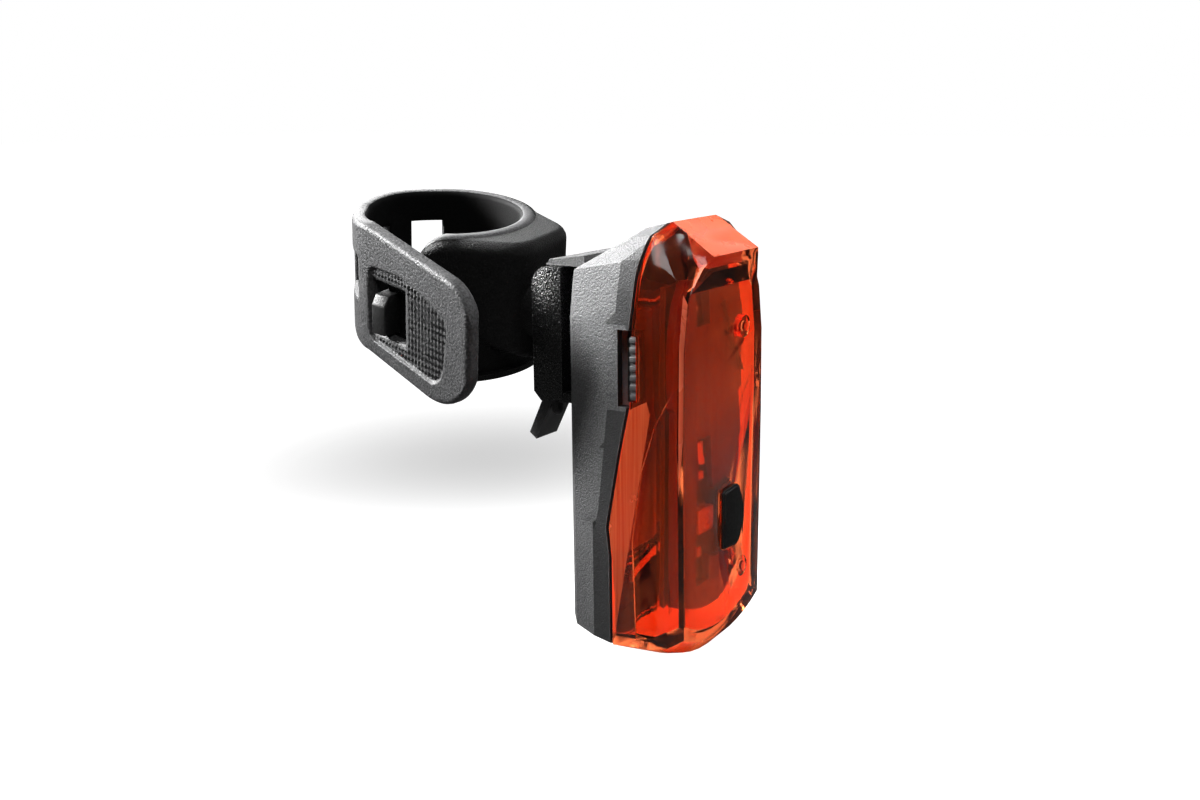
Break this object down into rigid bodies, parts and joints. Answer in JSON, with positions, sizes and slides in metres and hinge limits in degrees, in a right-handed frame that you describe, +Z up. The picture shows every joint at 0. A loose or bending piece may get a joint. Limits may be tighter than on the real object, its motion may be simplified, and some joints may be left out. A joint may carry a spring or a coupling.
{
  "type": "bicycle rear light",
  "caption": "Battery rear light for a bicycle: a tall red lens on a grey housing, clipped to a swivel bracket on a hooked rubber strap for the seat post.",
  "frame": {"origin": "centre of the seat post clamp, on the axis of the post", "axes": "+Z up along the upright head, +Y away from the lens towards the strap, +X across the lens; the post's axis leans towards the lens at its top and is turned about the swivel"},
  "size_m": [0.0459, 0.0815, 0.082],
  "materials": {
    "housing_plastic": "matt, fine moulded grain",
    "red_lens": "clear red, polished",
    "black_rubber": "matt rubber",
    "carrier_plastic": "smooth, seen red through the lens",
    "board": "board with a smooth solder mask",
    "led_clear": "clear moulded diode",
    "optic_clear": "clear, polished",
    "black_plastic": "matt black",
    "plated_steel": "nickel plated",
    "cell_jacket": "plain grey jacket, bare ends",
    "grey_plastic": "smooth semi-matt",
    "bracket_plastic": "black with a coarse leather-like grain",
    "brass_insert": "turned brass",
    "saddle_plastic": "fine sparkling grain",
    "strap_rubber": "matt rubber with smooth lips"
  },
  "bodies": {
    "strap_base": {"saddle_block": "saddle_plastic", "strap_band": "strap_rubber", "hook_peg": "grey_plastic", "swivel_insert": "brass_insert"},
    "clip": {"clip_bracket": "bracket_plastic", "swivel_disc": "plated_steel", "swivel_bolt": "plated_steel", "lever_pin": "plated_steel"},
    "lever": {"release_lever": "bracket_plastic"},
    "head": {"rear_housing": "housing_plastic", "housing_seal": "black_rubber", "battery_cell_left": "cell_jacket", "battery_cell_right": "cell_jacket", "contact_springs": "plated_steel", "contact_plates": "plated_steel"},
    "lens_unit": {"lens": "red_lens", "inner_carrier": "carrier_plastic", "circuit_board": "board", "main_led": "led_clear", "led_optic": "optic_clear", "standby_led": "led_clear", "board_components": "black_plastic", "tactile_switch": "black_plastic", "board_screws": "plated_steel"},
    "button": {"mode_button": "black_rubber"},
    "latch_left": {"latch_left": "grey_plastic"},
    "latch_right": {"latch_right": "grey_plastic"},
    "tab": {"pull_tab": "strap_rubber"}
  },
  "joints": [
    {"name": "bracket_swivel", "type": "hinge", "parent": "strap_base", "child": "clip", "pos_m": [0.00065, -0.0245, -0.00465], "axis": [0, 1, 0], "range_deg": [-38, 22]},
    {"name": "lever_release", "type": "hinge", "parent": "clip", "child": "lever", "pos_m": [0.00065, -0.0255, -0.01925], "axis": [-1, 0, 0], "range_deg": [0, 7], "stiffness_Nm_per_rad": 0.05, "springref_deg": -5.73},
    {"name": "head_slide", "type": "slide", "parent": "clip", "child": "head", "axis": [0, 0, 1], "range_m": [0, 0.029]},
    {"name": "lens_release", "type": "slide", "parent": "head", "child": "lens_unit", "axis": [0, -1, 0], "range_m": [0, 0.016]},
    {"name": "button_press", "type": "slide", "parent": "lens_unit", "child": "button", "axis": [0, 1, 0], "range_m": [0, 0.0008], "stiffness_N_per_m": 400, "springref_m": -0.0005},
    {"name": "latch_left_press", "type": "slide", "parent": "lens_unit", "child": "latch_left", "axis": [1, 0, 0], "range_m": [0, 0.0008], "stiffness_N_per_m": 500, "springref_m": -0.0004},
    {"name": "latch_right_press", "type": "slide", "parent": "lens_unit", "child": "latch_right", "axis": [-1, 0, 0], "range_m": [0, 0.0008], "stiffness_N_per_m": 500, "springref_m": -0.0004},
    {"name": "tab_unhook", "type": "hinge", "parent": "strap_base", "child": "tab", "pos_m": [-0.01794, 0.0091, -0.00311], "axis": [0.1375, 0.1564, -0.9781], "range_deg": [0, 40], "stiffness_Nm_per_rad": 0.02, "springref_deg": -2.86}
  ]
}
